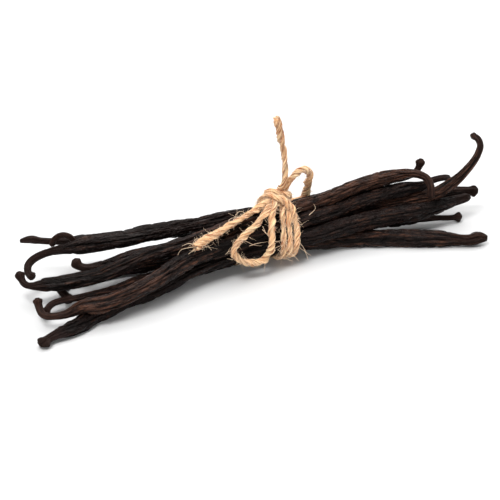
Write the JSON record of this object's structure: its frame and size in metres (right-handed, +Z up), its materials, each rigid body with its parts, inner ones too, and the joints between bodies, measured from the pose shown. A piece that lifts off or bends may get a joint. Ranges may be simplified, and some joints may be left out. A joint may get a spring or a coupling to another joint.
{
  "type": "bundle of vanilla pods",
  "caption": "Bundle of cured vanilla pods, splayed at both ends and tied round the middle with a bow of jute twine; it lies flat on a table.",
  "frame": {"origin": "on the plane the bundle lies on, under the middle of the pods' bounding box", "axes": "+X along the bundle, from the splayed stalk ends on the left to the ends on the right, +Y to the bundle's back, away from the bow's low loop, +Z up"},
  "size_m": [0.1848, 0.0526, 0.0564],
  "materials": {
    "pod_skin": "cured vanilla pod: oily, dark brown, finely wrinkled along its length",
    "jute": "plied natural jute twine, matt and hairy"
  },
  "bodies": {
    "root": {"pod_1": "pod_skin", "pod_2": "pod_skin", "pod_3": "pod_skin", "pod_4": "pod_skin", "pod_5": "pod_skin", "pod_6": "pod_skin", "pod_7": "pod_skin", "pod_8": "pod_skin", "pod_9": "pod_skin", "twine": "jute"}
  },
  "joints": []
}
